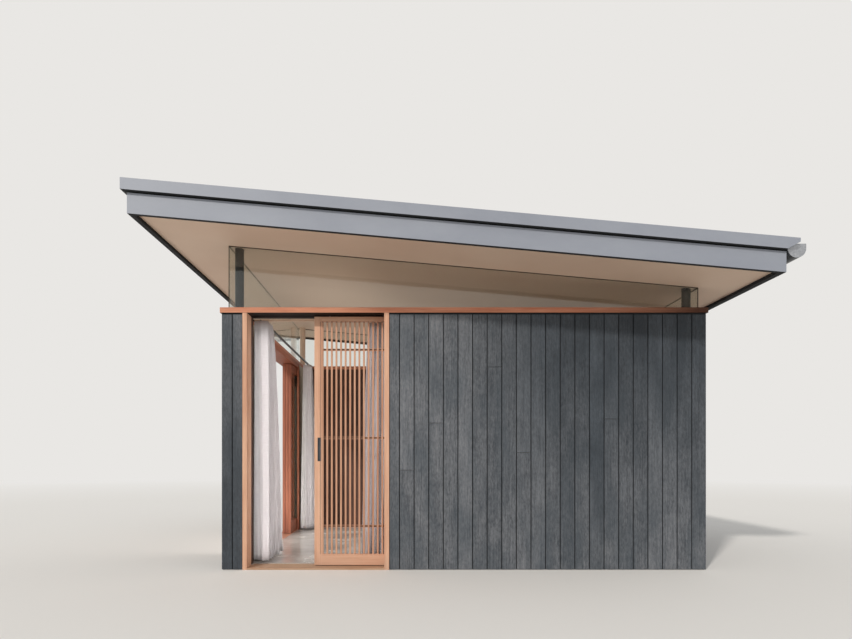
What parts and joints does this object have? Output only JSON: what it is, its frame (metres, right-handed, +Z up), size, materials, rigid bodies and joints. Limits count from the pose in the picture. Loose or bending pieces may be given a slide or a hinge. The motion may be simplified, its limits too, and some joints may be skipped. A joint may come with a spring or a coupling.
{
  "type": "garden office pod",
  "caption": "Single-room garden office pod with dark vertical boards, a wide tilted roof on a glazed strip, a slatted sliding screen and a glazed side opening.",
  "frame": {"origin": "on the ground, under the middle of the walls' footprint", "axes": "+Z up, +X to the right and the low eave, -Y out of the front wall with the slatted screen"},
  "size_m": [5.461, 5.38, 3.2297],
  "materials": {
    "concrete": "polished concrete",
    "wall_lining": "matt paint on lining board",
    "dark_lining": "dark stained timber lining",
    "charred_boards": "charred and brushed vertical boards, oiled",
    "red_timber": "red-brown hardwood, oiled",
    "pale_timber": "pale orange hardwood, oiled",
    "black_metal": "black satin paint",
    "clear_glass": "clear, smooth",
    "soffit_paint": "matt paint on lining board",
    "roof_core": "rough, hidden in shadow",
    "grey_metal": "blue-grey factory paint, satin",
    "silver_metal": "zinc coated, satin",
    "curtain_cloth": "off-white linen weave",
    "pull_metal": "dark grey satin"
  },
  "bodies": {
    "building": {"floor_slab": "concrete", "front_wall": "wall_lining", "front_wall_outer_leaf": "wall_lining", "front_wall_inner_leaf": "wall_lining", "left_wall": "wall_lining", "left_wall_pocket": "wall_lining", "right_wall": "wall_lining", "back_wall": "dark_lining", "front_cladding": "charred_boards", "left_cladding": "charred_boards", "right_cladding": "charred_boards", "back_cladding": "charred_boards", "front_plate": "red_timber", "side_plates": "red_timber", "back_plate": "red_timber", "door_jambs": "pale_timber", "door_sill": "pale_timber", "door_track": "black_metal", "side_frame": "red_timber", "side_sill": "red_timber", "front_glass": "clear_glass", "side_glass": "clear_glass", "back_glass": "clear_glass", "corner_posts": "black_metal", "ceiling_lining": "soffit_paint", "roof_deck": "roof_core", "fascias": "grey_metal", "roof_capping": "grey_metal", "roof_sheeting": "grey_metal", "gutter": "silver_metal", "curtain_tracks": "black_metal", "corner_curtain": "curtain_cloth", "rear_curtain": "curtain_cloth", "door_curtain": "curtain_cloth"},
    "sliding_screen": {"screen_stiles": "pale_timber", "screen_rails": "pale_timber", "screen_slats": "pale_timber", "screen_pull": "pull_metal", "screen_hangers": "silver_metal"},
    "front_leaf": {"front_leaf_frame": "red_timber", "front_leaf_glass": "clear_glass"},
    "middle_leaf": {"middle_leaf_frame": "red_timber", "middle_leaf_glass": "clear_glass"},
    "rear_leaf": {"rear_leaf_frame": "red_timber", "rear_leaf_glass": "clear_glass"}
  },
  "joints": [
    {"name": "screen_slide", "type": "slide", "parent": "building", "child": "sliding_screen", "axis": [1, 0, 0], "range_m": [-0.585, 0.63]},
    {"name": "front_leaf_slide", "type": "slide", "parent": "building", "child": "front_leaf", "axis": [0, -1, 0], "range_m": [-0.22, 1.669]},
    {"name": "middle_leaf_slide", "type": "slide", "parent": "building", "child": "middle_leaf", "axis": [0, -1, 0], "range_m": [-0.13, 0.975]},
    {"name": "rear_leaf_slide", "type": "slide", "parent": "building", "child": "rear_leaf", "axis": [0, -1, 0], "range_m": [-0.038, 0.28]}
  ],
  "couplings": [
    {"joint": "middle_leaf_slide", "follows": "front_leaf_slide", "ratio": 0.5836},
    {"joint": "rear_leaf_slide", "follows": "front_leaf_slide", "ratio": 0.1672}
  ]
}
